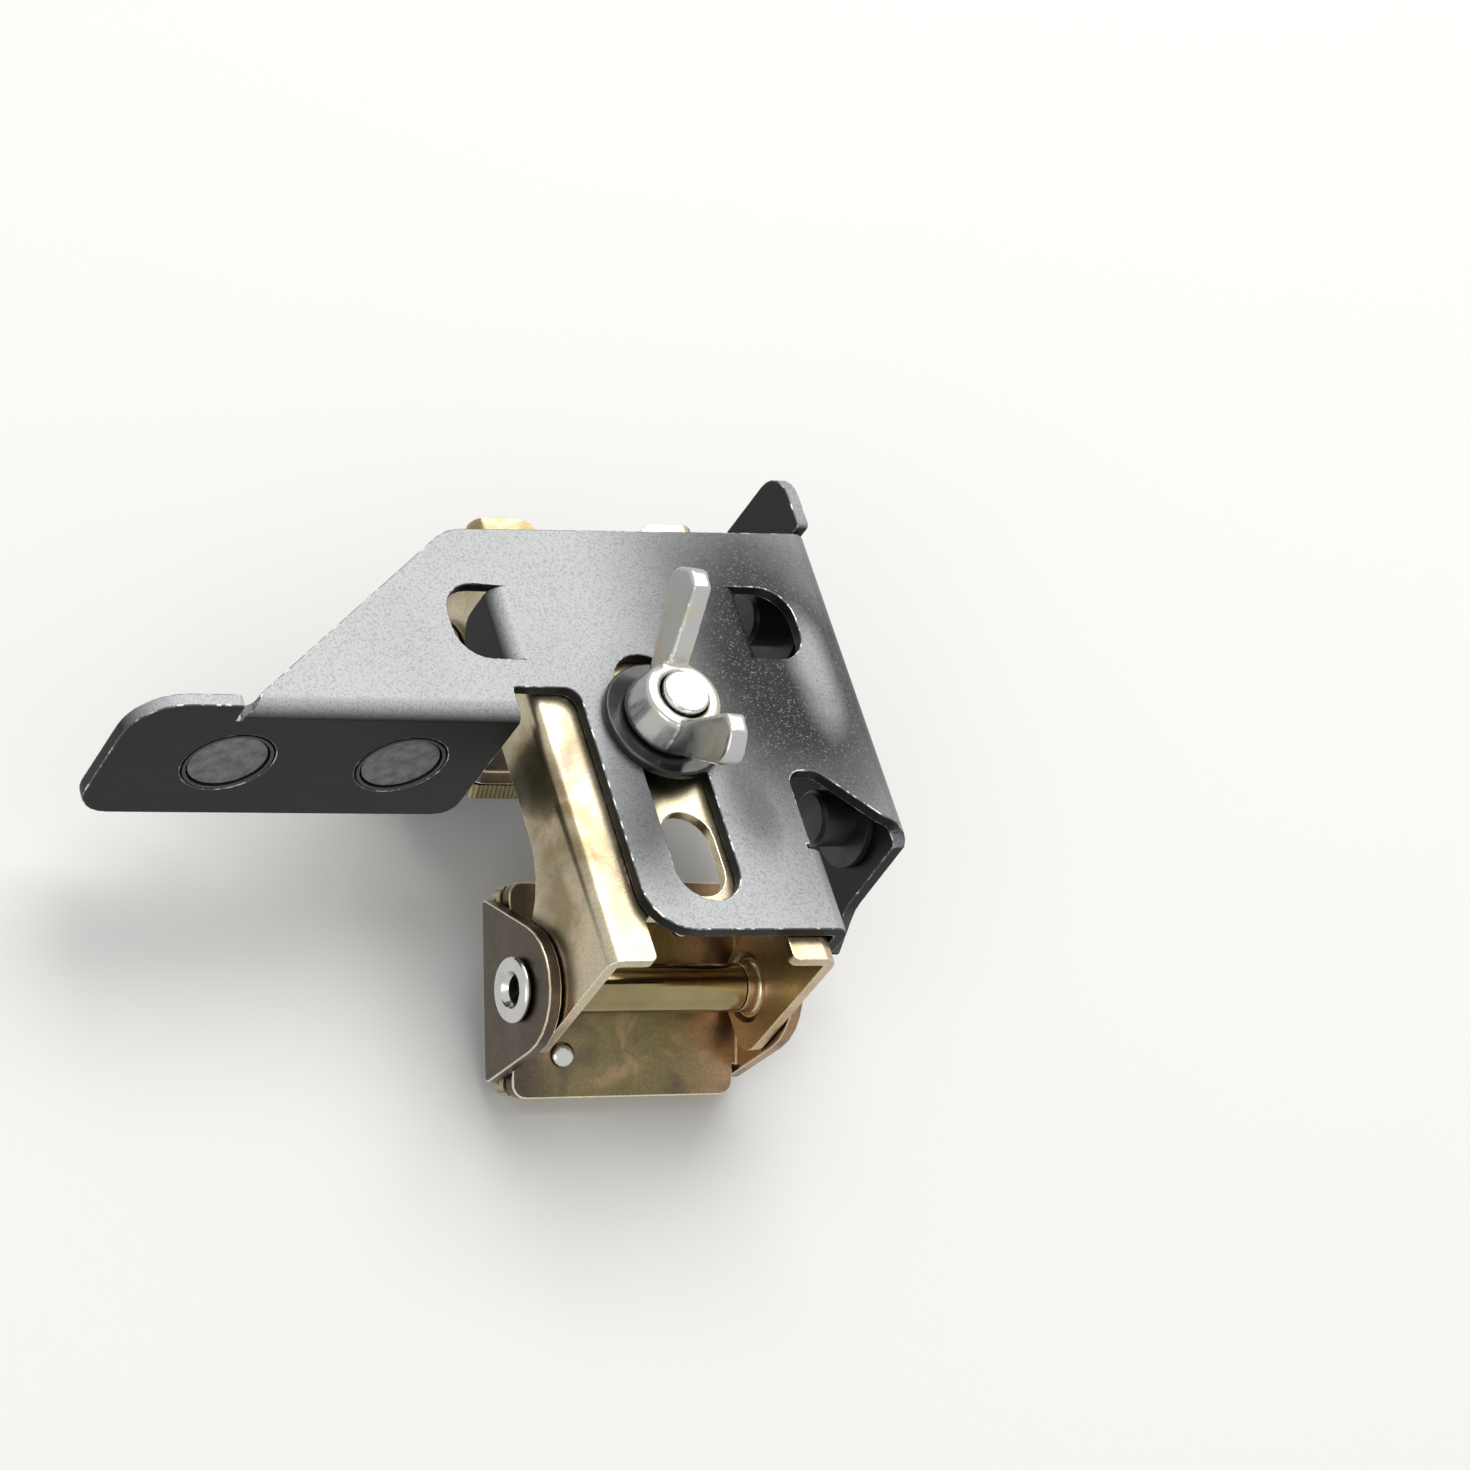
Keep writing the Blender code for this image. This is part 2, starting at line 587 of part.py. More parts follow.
def make_slide(look, carriage):
    half = SLIDE_WIDTH / 2
    neck = BOLT_NECK / 2 + GAP
    bm = bmesh.new()
    fill(bm, lambda x, y: (x, y, 0), slide_top_outline(), [
        long_hole(0, -WEB_SLOT_FAR, -WEB_SLOT_NEAR, WEB_SLOT_WIDTH),
        long_hole(0, WEB_SLOT_NEAR, WEB_SLOT_FAR, WEB_SLOT_WIDTH),
        [(-neck, -neck), (neck, -neck), (neck, neck), (-neck, neck)]])
    mouth_r = collar_r + FUNNEL_R
    quarter = [math.radians(90 * k / 4) for k in range(5)]
    rows = [(mouth_r - FUNNEL_R * math.sin(a), FUNNEL_R * (1 - math.cos(a))) for a in quarter]
    rows.append((collar_r, COLLAR_DEPTH))
    for side in (-1, 1):
        fold(bm, lambda s, a, b: (side * (half - SLIDE_BEND + b), s, a - SLIDE_BEND),
             (-HORN_FRONT, HORN_REAR), (-HORN_FRONT, HORN_REAR), SLIDE_BEND)
        fill(bm, lambda y, z: (side * half, y, z), slide_side_outline(),
             [circle(pin, mouth_r) for pin in pin_places()])
        for pin in pin_places():
            funnel(bm, lambda y, z, depth: (side * (half - depth), y, z), pin, rows)

    def thin(point):
        for y, z in pin_places():
            distance = math.hypot(point.y - y, point.z - z)
            if distance < mouth_r - 0.01 * MM:
                share = (distance - collar_r) / FUNNEL_R
                return (COLLAR_WALL + (SLIDE_SHEET - COLLAR_WALL) * share) / SLIDE_SHEET
        return 1.0

    return sheet_object("slide", bm, SLIDE_SHEET, (0, 0, 1), look, carriage, thin)


# Feet, drawn from the pivot's axis with the base level

def ear_outline():
    """One ear of a foot: straight sides that meet a round tip about the pivot."""
    reach = math.hypot(FOOT_EAR_HALF, FOOT_EAR_DROP)
    lean = math.degrees(math.acos(FOOT_EAR_R / reach) - math.atan2(FOOT_EAR_DROP, FOOT_EAR_HALF))
    tip = [(u, v, 0) for u, v in arc((0, 0), FOOT_EAR_R, lean, 180 - lean)]
    return rounded([(-FOOT_EAR_HALF, -FOOT_EAR_DROP, NICK), (FOOT_EAR_HALF, -FOOT_EAR_DROP, NICK)] + tip)


def base_outline():
    """The base, seen from above: its sides go into the ears and its ends lie clear of them."""
    let_x, end_x = foot_in + BASE_LET_IN, foot_in - NICK
    let_y = FOOT_EAR_HALF - BASE_SHEET
    corners = []
    for x, y in ((1, -1), (1, 1), (-1, 1), (-1, -1)):
        steps = [(x * end_x, y * BASE_HALF, BASE_CORNER_R), (x * end_x, y * let_y, 0), (x * let_x, y * let_y, 0)]
        corners += steps if x != y else steps[::-1]
    return rounded(corners)


def pad_rivet_places(inward):
    return [(-PAD_RIVET_X, -inward * PAD_RIVET_Y), (PAD_RIVET_X, inward * PAD_RIVET_Y)]


def make_foot(name, inward, looks, carriage, pin_y):
    """inward is 1 where the other foot lies towards +Y, and -1 where it lies towards -Y."""
    pivot = add_empty(name + "_pivot", carriage, (0, pin_y, -PIN_DROP), (inward * FOOT_TILT, 0, 0))
    hole_r = PAD_RIVET_R + GAP
    bm = bmesh.new()
    fill(bm, lambda x, y: (x, y, -FOOT_DROP), base_outline(),
         [circle(place, hole_r, 16) for place in pad_rivet_places(inward)])
    foot = sheet_object(name + "_foot", bm, BASE_SHEET, (0, 0, -1), looks["zinc"], pivot)
    for side in (-1, 1):
        ear = cut_plate("%s_ear_%s" % (name, "left" if side < 0 else "right"), ear_outline(), FOOT_SHEET,
                        None, pivot, (side * (foot_in + FOOT_SHEET / 2), 0, 0), SIDEWAYS, cutters,
                        holes=[circle((0, 0), RIVET_R + GAP)])
        join_or_cut(foot, ear, "UNION")
    make_pivot_rivet(name, looks["rivet"], pivot)
    make_pad(name, inward, looks, pivot)


def make_pivot_rivet(name, look, pivot):
    """A hollow rivet, rolled over outside both ears."""
    seat = foot_out + GAP
    end = seat + RIVET_HEAD
    edge_r = RIVET_HEAD / 2
    turned(name + "_rivet", rounded([
        (RIVET_MOUTH_R, end, edge_r), (RIVET_HEAD_R, end, edge_r), (RIVET_HEAD_R, seat, edge_r),
        (RIVET_R, seat, 0), (RIVET_R, -seat, 0), (RIVET_HEAD_R, -seat, edge_r),
        (RIVET_HEAD_R, -end, edge_r), (RIVET_MOUTH_R, -end, edge_r), (RIVET_BORE_R, -seat, 0),
        (RIVET_BORE_R, seat, 0)]), look, pivot, turned_to=ALONG_X)


def make_pad(name, inward, looks, pivot):
    """A plate whose two rails stand down on either side of a bar magnet."""
    top = -FOOT_DROP - GAP
    half_x, half_y = foot_in - GAP, BASE_HALF - POLE_INSET
    under = top - POLE_WEB
    foot_line = top - POLE_DEPTH
    pole = cut_plate(name + "_pole_plate", rounded([
        (-half_x, -half_y, BASE_CORNER_R), (half_x, -half_y, BASE_CORNER_R),
        (half_x, half_y, BASE_CORNER_R), (-half_x, half_y, BASE_CORNER_R)]),
        POLE_DEPTH, looks["pole"], pivot, (0, 0, top - POLE_DEPTH / 2))
    bay, below = half_y - POLE_RAIL, foot_line - SHEET
    join_or_cut(pole, cut_plate(name + "_magnet_bay", [(-bay, under), (-bay, below), (bay, below),
                                                       (bay, under)], 2 * foot_out, None, pivot,
                                turned_to=SIDEWAYS, group=cutters), "DIFFERENCE")
    side = bay - GAP
    face = foot_line + GAP
    magnet_top = under - GAP
    cut_plate(name + "_pad_magnet", [(-side, magnet_top), (-side, face), (side, face), (side, magnet_top)],
              2 * half_x, looks["magnet"], pivot, turned_to=SIDEWAYS)
    head_seat = BASE_SHEET - FOOT_DROP + GAP
    head_top = head_seat + PAD_RIVET_HEAD
    for number, (x, y) in enumerate(pad_rivet_places(inward), 1):
        drill = turned("%s_drill_%d" % (name, number), [
            (0, top + GAP), (PAD_RIVET_R + GAP, top + GAP), (PAD_RIVET_R + GAP, magnet_top),
            (0, magnet_top)], None, pivot, (x, y, 0), group=cutters, steps=16)
        join_or_cut(pole, drill, "DIFFERENCE")
        dome = [(PAD_RIVET_HEAD_R * math.sin(a), head_seat + PAD_RIVET_HEAD * math.cos(a))
                for a in (math.radians(90 * k / 5) for k in range(1, 6))]
        turned("%s_pad_rivet_%d" % (name, number), [(0, head_top)] + dome + [
            (PAD_RIVET_R, head_seat), (PAD_RIVET_R, under), (0, under)], looks["rivet"], pivot,
            (x, y, 0), steps=16)


def make_sleeve(name, look, carriage, pin_y):
    """The spacer on a pivot, between the slide's two collars."""
    end = SLIDE_WIDTH / 2 - COLLAR_DEPTH - GAP
    outer = collar_r + COLLAR_WALL
    turned(name + "_sleeve", [(collar_r, end), (outer, end), (outer, -end), (collar_r, -end)],
           look, carriage, (0, pin_y, -PIN_DROP), ALONG_X)


# The clamp, drawn up from the slide's top face

def make_clamp(looks, carriage):
    plate_top = GAP + SHEET
    washer_low = plate_top + GAP
    nut_low = washer_low + WASHER_THICK + GAP
    nut_top = nut_low + NUT_HEIGHT
    bolt_end = nut_top + BOLT_PROUD
    head = -SLIDE_SHEET - GAP
    bore_r = BOLT_R + GAP
    dome = [(BOLT_HEAD_R * math.cos(a), head - BOLT_HEAD * math.sin(a))
            for a in (math.radians(90 * k / 6) for k in range(7))]
    bolt = turned("clamp_bolt", [(0, bolt_end), (BOLT_R - GAP, bolt_end), (BOLT_R, bolt_end - GAP),
                                 (BOLT_R, head)] + dome[:-1] + [(0, head - BOLT_HEAD)],
                  looks["bolt"], carriage)
    half = BOLT_NECK / 2
    neck = cut_plate("bolt_neck", [(-half, -half), (half, -half), (half, half), (-half, half)],
                     SLIDE_SHEET + BOLT_HEAD / 2, None, carriage,
                     (0, 0, -GAP - (SLIDE_SHEET + BOLT_HEAD / 2) / 2), group=cutters)
    join_or_cut(bolt, neck, "UNION")
    turned("washer", rounded([
        (bore_r, washer_low + WASHER_THICK, 0), (WASHER_R, washer_low + WASHER_THICK, 0.5 * MM),
        (WASHER_R, washer_low, 0.3 * MM), (bore_r, washer_low, 0)]), looks["black"], carriage)
    make_wing_nut(looks["cast"], carriage, nut_low, bore_r)


def make_wing_nut(look, carriage, nut_low, bore_r):
    """A turned hub and two wings, which are thinner towards their tops."""
    axis = add_empty("nut_axis", carriage, (0, 0, nut_low), (0, 0, WING_TURN))
    nut = turned("wing_nut", rounded([
        (bore_r, NUT_HEIGHT, 0), (NUT_TOP_R, NUT_HEIGHT, 0.8 * MM), (NUT_BASE_R, 0, 0.6 * MM),
        (bore_r, 0, 0)]), look, axis)
    root = (bore_r + NUT_TOP_R) / 2
    low = 0.2 * NUT_HEIGHT
    round_r = 0.25 * WING_WIDTH
    for side in (-1, 1):
        outline = rounded([
            (side * root, low, 0), (side * NUT_BASE_R, low, 0),
            (side * WING_REACH, WING_HEIGHT - 0.75 * WING_WIDTH, round_r),
            (side * (WING_REACH - 0.1 * WING_WIDTH), WING_HEIGHT - 0.4 * WING_WIDTH, round_r),
            (side * (WING_REACH - 0.45 * WING_WIDTH), WING_HEIGHT, round_r),
            (side * (WING_REACH - 0.95 * WING_WIDTH), WING_HEIGHT, round_r / 2),
            (side * NUT_TOP_R, NUT_HEIGHT + 0.35 * WING_WIDTH, round_r),
            (side * root, NUT_HEIGHT, 0)])
        wing = cut_plate("wing_%s" % ("front" if side < 0 else "rear"), outline, WING_THICK, None,
                         axis, (0, 0, 0), SIDEWAYS, cutters)
        for vertex in wing.data.vertices:
            vertex.co.z *= 1 - (1 - WING_TIP / WING_THICK) * vertex.co.y / WING_HEIGHT
        join_or_cut(nut, wing, "UNION")


remove_everything()
parts = new_collection("magnetic_welding_tab")
cutters = new_collection("cutters")

looks = {
    "black": material("black powder coat", "2A2B2D", 0.0, 0.45),
    "zinc": material("yellow zinc", "C2AB63", 0.9, 0.35),
    "slide": material("yellow zinc slide", "B9A45C", 0.9, 0.32),
    "sleeve": material("polished yellow zinc", "CDAE52", 1.0, 0.15),
    "pole": material("yellow zinc pole plate", "A8924E", 0.9, 0.4),
    "rivet": material("bright steel", "C4C4C2", 1.0, 0.25),
    "cup": material("black steel cup", "1E1E20", 0.6, 0.4),
    "magnet": material("magnet", "77787A", 0.5, 0.5),
    "cast": material("cast zinc", "CFCFCD", 1.0, 0.3),
    "bolt": material("plated bolt", "D6D4CC", 1.0, 0.2),
}

datum = add_empty("tab_datum", None, (0, -END_MAGNET_Y, END_MAGNET_DROP))
make_bracket(looks["black"], datum)
for name, (x, z) in zip(("side_outer", "side_inner"), flange_magnets()):
    make_cup(name, looks["cup"], looks["magnet"], datum, (x, FLANGE_Y, z), FACING_FRONT)
for name, (y, z) in zip(("end_front", "end_rear"), end_magnets()):
    make_cup(name, looks["cup"], looks["magnet"], datum, (0, y, z), ALONG_X)

carriage = add_empty("slide_datum", datum, (mid_x, bolt_y, -SHEET - GAP))
make_slide(looks["slide"], carriage)
make_sleeve("front", looks["sleeve"], carriage, -FRONT_PIN)
make_sleeve("rear", looks["sleeve"], carriage, REAR_PIN)
make_clamp(looks, carriage)
make_foot("front", 1, looks, carriage, -FRONT_PIN)
make_foot("rear", -1, looks, carriage, REAR_PIN)
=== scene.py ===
# %% [markdown]
# # Magnetic welding tab
#
# This tool holds a tab square to its work while it is tack-welded. A folded black plate carries
# magnets in two flanges, and a wing nut clamps its slotted tongue to a zinc slide that stands on
# magnetic feet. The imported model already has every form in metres, so this lesson is about
# finish: how each metal was coated, how that coating has worn, and which light lets you see it.

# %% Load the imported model
import math

import bpy
from mathutils import Matrix, Vector


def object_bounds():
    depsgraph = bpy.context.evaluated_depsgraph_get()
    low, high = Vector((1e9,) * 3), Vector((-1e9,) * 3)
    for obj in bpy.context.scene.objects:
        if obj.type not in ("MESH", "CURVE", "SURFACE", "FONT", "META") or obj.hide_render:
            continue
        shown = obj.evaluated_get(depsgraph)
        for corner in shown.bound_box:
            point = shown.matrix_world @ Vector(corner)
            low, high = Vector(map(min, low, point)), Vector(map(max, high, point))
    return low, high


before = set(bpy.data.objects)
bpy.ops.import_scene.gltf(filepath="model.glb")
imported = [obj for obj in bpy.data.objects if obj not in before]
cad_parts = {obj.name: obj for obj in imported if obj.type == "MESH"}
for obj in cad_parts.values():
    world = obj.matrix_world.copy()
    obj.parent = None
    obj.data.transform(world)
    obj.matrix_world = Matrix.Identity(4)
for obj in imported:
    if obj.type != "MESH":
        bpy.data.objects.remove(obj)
cad_box = [list(corner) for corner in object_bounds()]
MM = 0.001
print("size in mm:", [round((high - low) / MM, 1) for low, high in zip(*cad_box)])

# %% [markdown]
# ## The camera
#
# A camera could be placed by eye, or with a track constraint. Here its place and turn were solved
# from straight edges of the tool, so they are written as a matrix: three columns for its own
# right, up and back directions, and a fourth for its place. The long lens keeps the plate's
# edges nearly parallel, as they are when a small tool is seen from almost a metre away.

# %% Camera
right = (0.8535809, -0.276947, 0.4412482)
down = (0.015031, -0.833545, -0.552247)
forward = (0.5207434, 0.4780199, -0.7073354)
place = (-0.4708104, -0.4186207, 0.6138836)

camera = bpy.data.objects.new("camera", bpy.data.cameras.new("camera"))
bpy.context.scene.collection.objects.link(camera)
camera.matrix_world = Matrix([(r, -d, -f, p) for r, d, f, p in zip(right, down, forward, place)]
                             + [(0, 0, 0, 1)])
camera.data.sensor_width = 36
camera.data.lens = 128.876
camera.data.clip_start = 0.01
bpy.context.scene.camera = camera
print("camera is", round(math.dist(place, (0, 0, 0)), 3), "m from the origin")

# %% [markdown]
# ## Light and floor
#
# Plated and coated metal shows its surroundings more than its own colour. A lamp right overhead
# would leave the plate dead black, so one large soft box stands behind and above the tool, with
# its edge near the direction that the flat top mirrors to the camera. Rough powder coat catches
# it and turns grey, while smoother zinc shows a bright streak on its bends. A second box opens up
# the near side. Light Path makes floor and sky pale for the camera and in the metal, yet dimmer
# as a source of light, so that upright black faces stay dark.

# %% Colours from hex
def linear(hex_colour):
    """Turn an sRGB hex colour into the linear colour that a shader takes."""
    shares = [int(hex_colour[i:i + 2], 16) / 255 for i in (1, 3, 5)]
    return (*[s / 12.92 if s <= 0.04045 else ((s + 0.055) / 1.055) ** 2.4 for s in shares], 1)


print("mid grey in linear light:", [round(s, 3) for s in linear("#808080")[:3]])

# %% [markdown]
# The looks below are built of many small nodes, so one function adds any of them. Sockets that
# share a name go by number. In a Mix node, 2 and 3 are its two values and 6 and 7 its two
# colours. In a Map Range, 1 to 2 is the range that comes in and 3 to 4 the one that goes out.

# %% One function for nodes
def add_node(tree, kind, sockets=None, **settings):
    """Add a node with its settings. A socket takes a value, or a link from another socket."""
    made = tree.nodes.new(kind)
    for name, value in settings.items():
        setattr(made, name, value)
    for name, value in (sockets or {}).items():
        if isinstance(value, bpy.types.NodeSocket):
            tree.links.new(value, made.inputs[name])
        else:
            made.inputs[name].default_value = value
    return made


# %% Soft boxes
TOOL_MIDDLE = (-0.05, -0.01, 0)


def soft_box(name, towards, distance, width, height, watts, colour):
    """An area lamp that looks at the tool from a direction."""
    lamp = bpy.data.lights.new(name, "AREA")
    lamp.shape = "RECTANGLE"
    lamp.size, lamp.size_y = width, height
    lamp.energy = watts
    lamp.color = linear(colour)[:3]
    box = bpy.data.objects.new(name, lamp)
    bpy.context.scene.collection.objects.link(box)
    length = math.hypot(*towards)
    box.location = [a + t / length * distance for a, t in zip(TOOL_MIDDLE, towards)]
    away = (box.location - Vector(TOOL_MIDDLE)).to_track_quat("Z", "Y")
    box.rotation_euler = away.to_euler()


soft_box("top soft box", (0.18, 0.42, 0.88), 1.5, 1.2, 1.2, 17, "#FFFEFB")
soft_box("front soft box", (-0.8, -0.6, 0.5), 1.6, 0.9, 0.9, 5, "#F8FAFF")

# %% World
world = bpy.data.worlds.new("studio")
bpy.context.scene.world = world
world.use_nodes = True
tree = world.node_tree
tree.nodes.clear()
way = add_node(tree, "ShaderNodeTexCoord")
height = add_node(tree, "ShaderNodeSeparateXYZ", {0: way.outputs["Generated"]})
level = add_node(tree, "ShaderNodeMapRange", {0: height.outputs["Z"], 1: -0.1, 2: 0.9, 3: 0.22,
                                              4: 0.48})
ray = add_node(tree, "ShaderNodeLightPath")
mirrored = add_node(tree, "ShaderNodeMath", {0: ray.outputs["Is Glossy Ray"],
                                             1: ray.outputs["Is Transmission Ray"]},
                    operation="MAXIMUM")
seen = add_node(tree, "ShaderNodeMath", {0: ray.outputs["Is Camera Ray"], 1: mirrored.outputs[0]},
                operation="MAXIMUM")
strength = add_node(tree, "ShaderNodeMix", {0: seen.outputs[0], 2: level.outputs[0], 3: 0.85},
                    data_type="FLOAT")
sky = add_node(tree, "ShaderNodeBackground", {"Color": linear("#FFFFFF"),
                                              "Strength": strength.outputs[0]})
add_node(tree, "ShaderNodeOutputWorld", {"Surface": sky.outputs[0]})
print("world nodes:", len(tree.nodes))

# %% Floor
ground = cad_box[0][2]
half = 3.0
floor_mesh = bpy.data.meshes.new("floor")
floor_mesh.from_pydata([(-half, -half, ground), (half, -half, ground), (half, half, ground),
                        (-half, half, ground)], [], [(0, 1, 2, 3)])
floor = bpy.data.objects.new("floor", floor_mesh)
bpy.context.scene.collection.objects.link(floor)
paper = bpy.data.materials.new("pale paper")
paper.use_nodes = True
paper_shader = paper.node_tree.nodes["Principled BSDF"]
tree = paper.node_tree
ray = add_node(tree, "ShaderNodeLightPath")
sheet = add_node(tree, "ShaderNodeMix", {0: ray.outputs["Is Camera Ray"], 6: linear("#8C8C8A"),
                                         7: linear("#F6F6F4")}, data_type="RGBA")
tree.links.new(sheet.outputs[2], paper_shader.inputs["Base Color"])
shown = add_node(tree, "ShaderNodeMath", {0: ray.outputs["Is Glossy Ray"],
                                          1: ray.outputs["Is Transmission Ray"]},
                 operation="MAXIMUM")
glow = add_node(tree, "ShaderNodeEmission", {"Color": linear("#E6E6E4"), "Strength": 1.0})
both = add_node(tree, "ShaderNodeMixShader", {0: shown.outputs[0], 1: paper_shader.outputs[0],
                                              2: glow.outputs[0]})
tree.links.new(both.outputs[0], tree.nodes["Material Output"].inputs["Surface"])
paper_shader.inputs["Roughness"].default_value = 0.9
paper_shader.inputs["Specular IOR Level"].default_value = 0.1
floor_mesh.materials.append(paper)
print("floor at z =", round(ground / MM, 1), "mm")

# %% [markdown]
# ## What all the materials share
#
# Each finish below starts from an empty material with a Principled shader, and reads the object's
# own coordinates. They are in metres here, so a pattern that repeats every 0.7 mm needs a noise
# scale of 1 / 0.0007. A pattern made this way stays on the metal when the tool moves, and has the
# same size on a small rivet as on the wide plate. A Wave texture counts differently, so it gets
# a scale of its own.

# %% A starting material
def start_finish(name, metallic, roughness):
    """A material with its shader, its node tree and the object's own coordinates."""
    finish = bpy.data.materials.new(name)
    finish.use_nodes = True
    tree = finish.node_tree
    shader = tree.nodes["Principled BSDF"]
    shader.inputs["Metallic"].default_value = metallic
    shader.inputs["Roughness"].default_value = roughness
    where = add_node(tree, "ShaderNodeTexCoord").outputs["Object"]
    return finish, tree, shader, where


def per_mm(millimetres):
    """The noise scale whose features are about this far apart."""
    return 1 / (millimetres * MM)


# a Wave texture at scale 1 runs through this many radians in each unit of length
WAVE_RADIANS = 20


def bands_per_mm(millimetres):
    """The scale of a Wave texture whose bands are this far apart."""
    return math.tau / WAVE_RADIANS / (millimetres * MM)


print("for a 0.7 mm pattern, noise scale:", round(per_mm(0.7)),
      "and wave scale:", round(bands_per_mm(0.7)))

# %% [markdown]
# ## Black powder coat
#
# The folded plate was sprayed with dry powder and baked, which leaves a satin skin with a fine
# orange peel. A bitmap could give that, but two noises in the bump do it at any distance: a
# grain for the powder and a slower swell for the peel. The real grain is about 0.2 mm across,
# drawn coarser here, at 0.32 mm, to show at all. The coat is a paint, so it isn't metallic, and
# its roughness is that of a satin coat, from 0.36 where it is handled to 0.48.
#
# Faces that look up get a painted sheen: their black is mixed towards pale grey, standing in for
# the soft box's reflection. Soft ovals shape it, with painted shade round the hub and on the
# tongue's two strips, and a painted highlight along the fold. The powder grain breaks the sheen
# into specks and adds painted glints on the tops. So the eye meets a black tool that is pale and
# speckled on top, still black on its flanges.

# %% Black powder coat
coat, tree, shader, where = start_finish("black powder coat", 0.0, 0.42)
grain = add_node(tree, "ShaderNodeTexNoise", {"Vector": where, "Scale": per_mm(0.32),
                                              "Detail": 2.0})
swell = add_node(tree, "ShaderNodeTexNoise", {"Vector": where, "Scale": per_mm(2.6),
                                              "Detail": 2.0})
handled = add_node(tree, "ShaderNodeTexNoise", {"Vector": where, "Scale": per_mm(22),
                                                "Detail": 4.0})
shade = add_node(tree, "ShaderNodeMapRange", {0: handled.outputs[0], 1: 0.35, 2: 0.65})
body = add_node(tree, "ShaderNodeMix", {0: shade.outputs[0], 6: linear("#151617"),
                                        7: linear("#202123")}, data_type="RGBA")
normal = add_node(tree, "ShaderNodeTexCoord").outputs["Normal"]
facing = add_node(tree, "ShaderNodeSeparateXYZ", {0: normal})
# painted sheen: faces that look up are made paler, standing in for the soft box's reflection
upward = add_node(tree, "ShaderNodeMapRange", {0: facing.outputs["Z"], 1: 0.1, 2: 0.85})
share = {}
RAGGED = 12 * MM
# each oval: centre in mm, stretch, the two radii in mm between which the painted sheen changes,
# the share of painted sheen at each of them. RAGGED is how far the slow noise can move that border
for area, centre, stretch, near, far, at_near, at_far in (
        ("hub", (-15, 2), (1.1, 0.62), 12, 46, 0.0, 1.0),
        ("left strip", (-50, -26), (1.3, 0.55), 8, 18, 0.4, 1.0),
        ("right strip", (-28, -24), (1.3, 0.6), 8, 20, 0.25, 1.0),
        ("fold", (-8, 2), (2.4, 0.75), 7, 20, 0.7, 0.0)):
    apart = add_node(tree, "ShaderNodeVectorMath",
                     {0: where, 1: (centre[0] * MM, centre[1] * MM, 0)}, operation="SUBTRACT")
    oval = add_node(tree, "ShaderNodeVectorMath", {0: apart.outputs[0], 1: (*stretch, 0)},
                    operation="MULTIPLY")
    radius = add_node(tree, "ShaderNodeVectorMath", {0: oval.outputs[0]}, operation="LENGTH")
    uneven = add_node(tree, "ShaderNodeMath",
                      {0: handled.outputs[0], 1: RAGGED, 2: radius.outputs["Value"]},
                      operation="MULTIPLY_ADD")
    fade = add_node(tree, "ShaderNodeMapRange",
                    {0: uneven.outputs[0], 1: near * MM, 2: far * MM, 3: at_near, 4: at_far},
                    interpolation_type="SMOOTHSTEP")
    share[area] = fade.outputs[0]
strips = add_node(tree, "ShaderNodeMath", {0: share["left strip"], 1: share["right strip"]},
                  operation="MINIMUM")
# painted shade round the hub and on the tongue's strips, and a painted highlight along the fold
painted_shade_ovals = add_node(tree, "ShaderNodeMath", {0: share["hub"], 1: strips.outputs[0]},
                 operation="MINIMUM")
painted_sheen_ovals = add_node(tree, "ShaderNodeMath", {0: painted_shade_ovals.outputs[0], 1: share["fold"]},
                 operation="MAXIMUM")
painted_sheen_top = add_node(tree, "ShaderNodeMath", {0: painted_sheen_ovals.outputs[0], 1: upward.outputs[0]},
                   operation="MULTIPLY")
# the powder grain breaks the painted sheen into specks, and its peaks add painted glints on upward
# faces
sheen_grain = add_node(tree, "ShaderNodeMapRange", {0: grain.outputs[0], 1: 0.34, 2: 0.52, 3: 0.6,
                                             4: 1.0})
grained_sheen = add_node(tree, "ShaderNodeMath", {0: painted_sheen_top.outputs[0], 1: sheen_grain.outputs[0]},
                operation="MULTIPLY")
peaks = add_node(tree, "ShaderNodeMapRange", {0: grain.outputs[0], 1: 0.58, 2: 0.68, 3: 0.0,
                                              4: 0.4})
tips = add_node(tree, "ShaderNodeMath", {0: peaks.outputs[0], 1: upward.outputs[0]},
                operation="MULTIPLY")
pale = add_node(tree, "ShaderNodeMath", {0: grained_sheen.outputs[0], 1: tips.outputs[0]},
                operation="MAXIMUM")
sheen = add_node(tree, "ShaderNodeMapRange", {0: painted_sheen_top.outputs[0], 3: 0.18, 4: 0.95})
tree.links.new(sheen.outputs[0], shader.inputs["Specular IOR Level"])
# base colour: black coat, mixed to pale grey where the sheen is painted on
sheen_painted_colour = add_node(tree, "ShaderNodeMix", {0: pale.outputs[0], 6: body.outputs[2],
                                          7: linear("#B8BABC")}, data_type="RGBA")
tree.links.new(sheen_painted_colour.outputs[2], shader.inputs["Base Color"])
gloss = add_node(tree, "ShaderNodeMapRange", {0: handled.outputs[0], 1: 0.3, 2: 0.7, 3: 0.36,
                                              4: 0.48})
tree.links.new(gloss.outputs[0], shader.inputs["Roughness"])
peel = add_node(tree, "ShaderNodeBump", {"Strength": 0.35, "Distance": 0.05 * MM,
                                         "Height": swell.outputs[0]})
powder = add_node(tree, "ShaderNodeBump", {"Strength": 0.6, "Distance": 0.05 * MM,
                                           "Height": grain.outputs[0], "Normal": peel.outputs[0]})
tree.links.new(powder.outputs[0], shader.inputs["Normal"])
print(coat.name, "has", len(tree.nodes), "nodes")

# %% [markdown]
# ## Worn edge of the coat
#
# Powder pulls thin over a sheet's sharp corners, and there it rubs through to bright steel. Edge
# wear can be baked or masked by curvature. Here a Bevel modifier rounds each edge and
# gives the new narrow faces this second material, so the wear lies exactly where hands and work
# touch. A patchy noise picks between thin grey coat and bare metal, so metallic changes with it.

